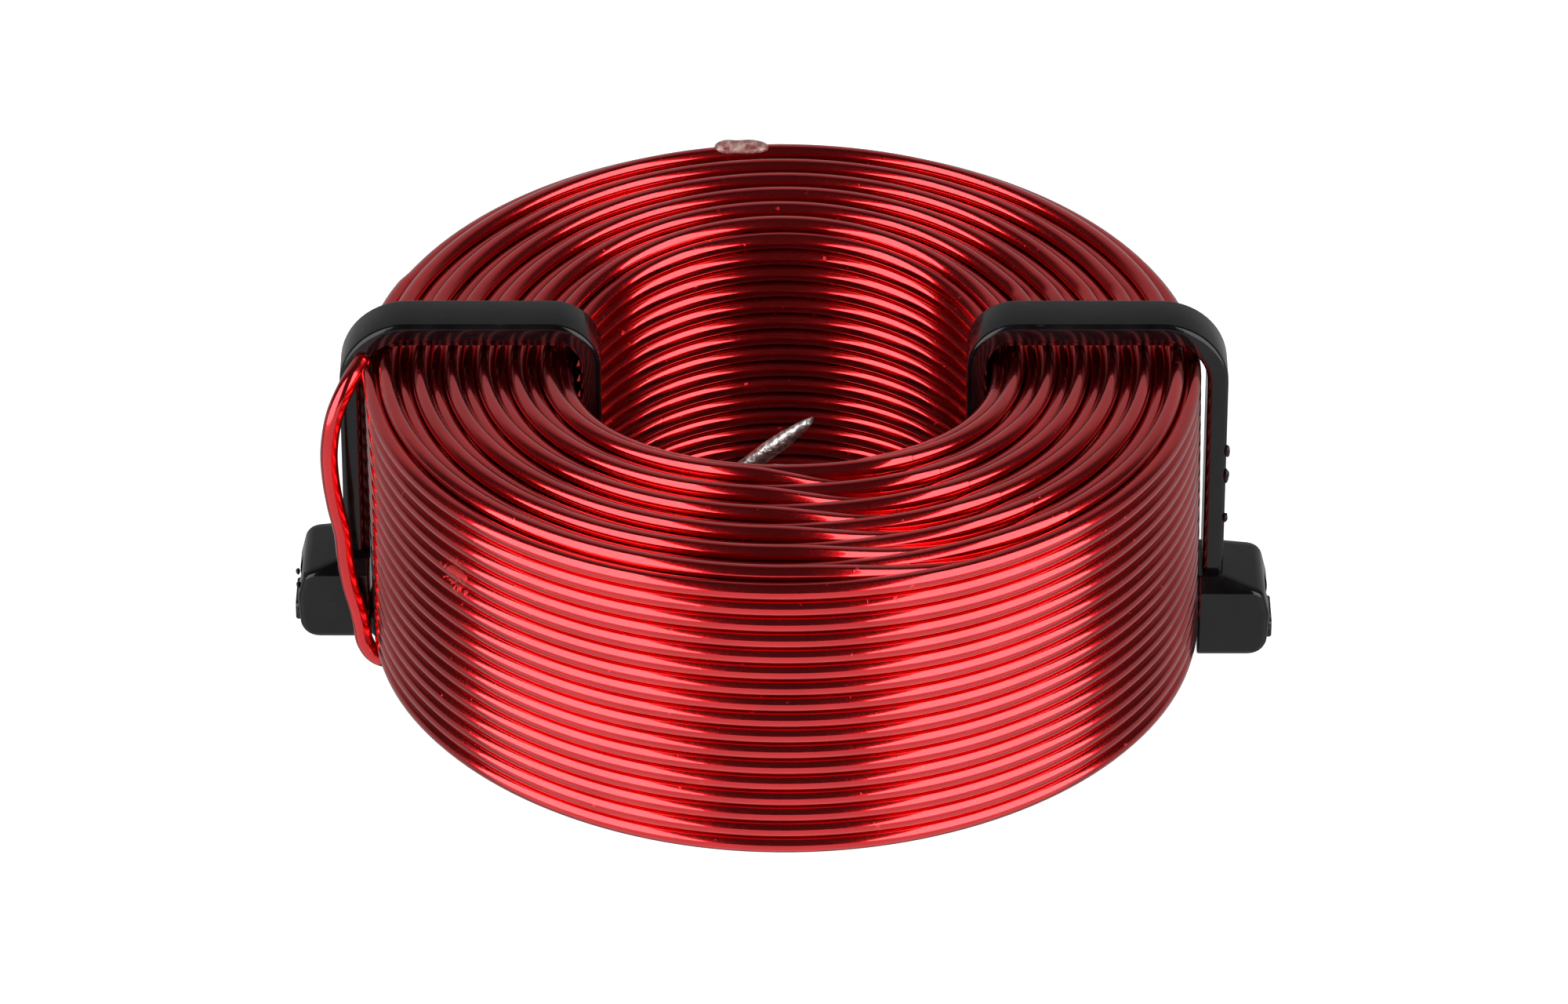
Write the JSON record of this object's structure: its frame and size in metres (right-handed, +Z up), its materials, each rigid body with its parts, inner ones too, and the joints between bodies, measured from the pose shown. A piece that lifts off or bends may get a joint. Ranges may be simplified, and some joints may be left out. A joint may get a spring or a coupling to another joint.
{
  "type": "air-core inductor coil",
  "caption": "Bonded air-core coil of red enamelled wire on edge, held by two black cable ties, with tinned lead ends in its bore.",
  "frame": {"origin": "on the coil's axis, at the surface that it stands on", "axes": "+Z up along the coil's axis; +X towards the right tie's head, away from the outer lead; -Y towards the front, where the leads lie"},
  "size_m": [0.0474, 0.04, 0.0183],
  "materials": {
    "enamelled_wire": "clear red enamel over copper, glossy",
    "tinned_copper": "dipped solder, lumpy and semi-bright",
    "black_nylon": "moulded nylon, satin gloss",
    "varnish": "dried clear varnish, slightly cloudy"
  },
  "bodies": {
    "coil": {"winding_layer_01": "enamelled_wire", "winding_layer_02": "enamelled_wire", "winding_layer_03": "enamelled_wire", "winding_layer_04": "enamelled_wire", "winding_layer_05": "enamelled_wire", "winding_layer_06": "enamelled_wire", "winding_layer_07": "enamelled_wire", "winding_layer_08": "enamelled_wire", "winding_layer_09": "enamelled_wire", "winding_layer_10": "enamelled_wire", "winding_layer_11": "enamelled_wire", "winding_layer_12": "enamelled_wire", "winding_layer_13": "enamelled_wire", "outer_lead": "enamelled_wire", "outer_lead_tip": "tinned_copper", "inner_lead": "enamelled_wire", "inner_lead_tip": "tinned_copper", "left_tie_strap": "black_nylon", "left_tie_head": "black_nylon", "right_tie_strap": "black_nylon", "right_tie_head": "black_nylon", "varnish_drop": "varnish"},
    "left_pawl": {"left_tie_pawl": "black_nylon"},
    "right_pawl": {"right_tie_pawl": "black_nylon"}
  },
  "joints": [
    {"name": "left_pawl_flex", "type": "hinge", "parent": "coil", "child": "left_pawl", "pos_m": [-0.021, 0.0015, 0.0036], "axis": [0, 1, 0], "range_deg": [0, 12], "stiffness_Nm_per_rad": 0.002},
    {"name": "right_pawl_flex", "type": "hinge", "parent": "coil", "child": "right_pawl", "pos_m": [0.021, 0.0015, 0.00255], "axis": [0, -1, 0], "range_deg": [0, 12], "stiffness_Nm_per_rad": 0.002}
  ]
}
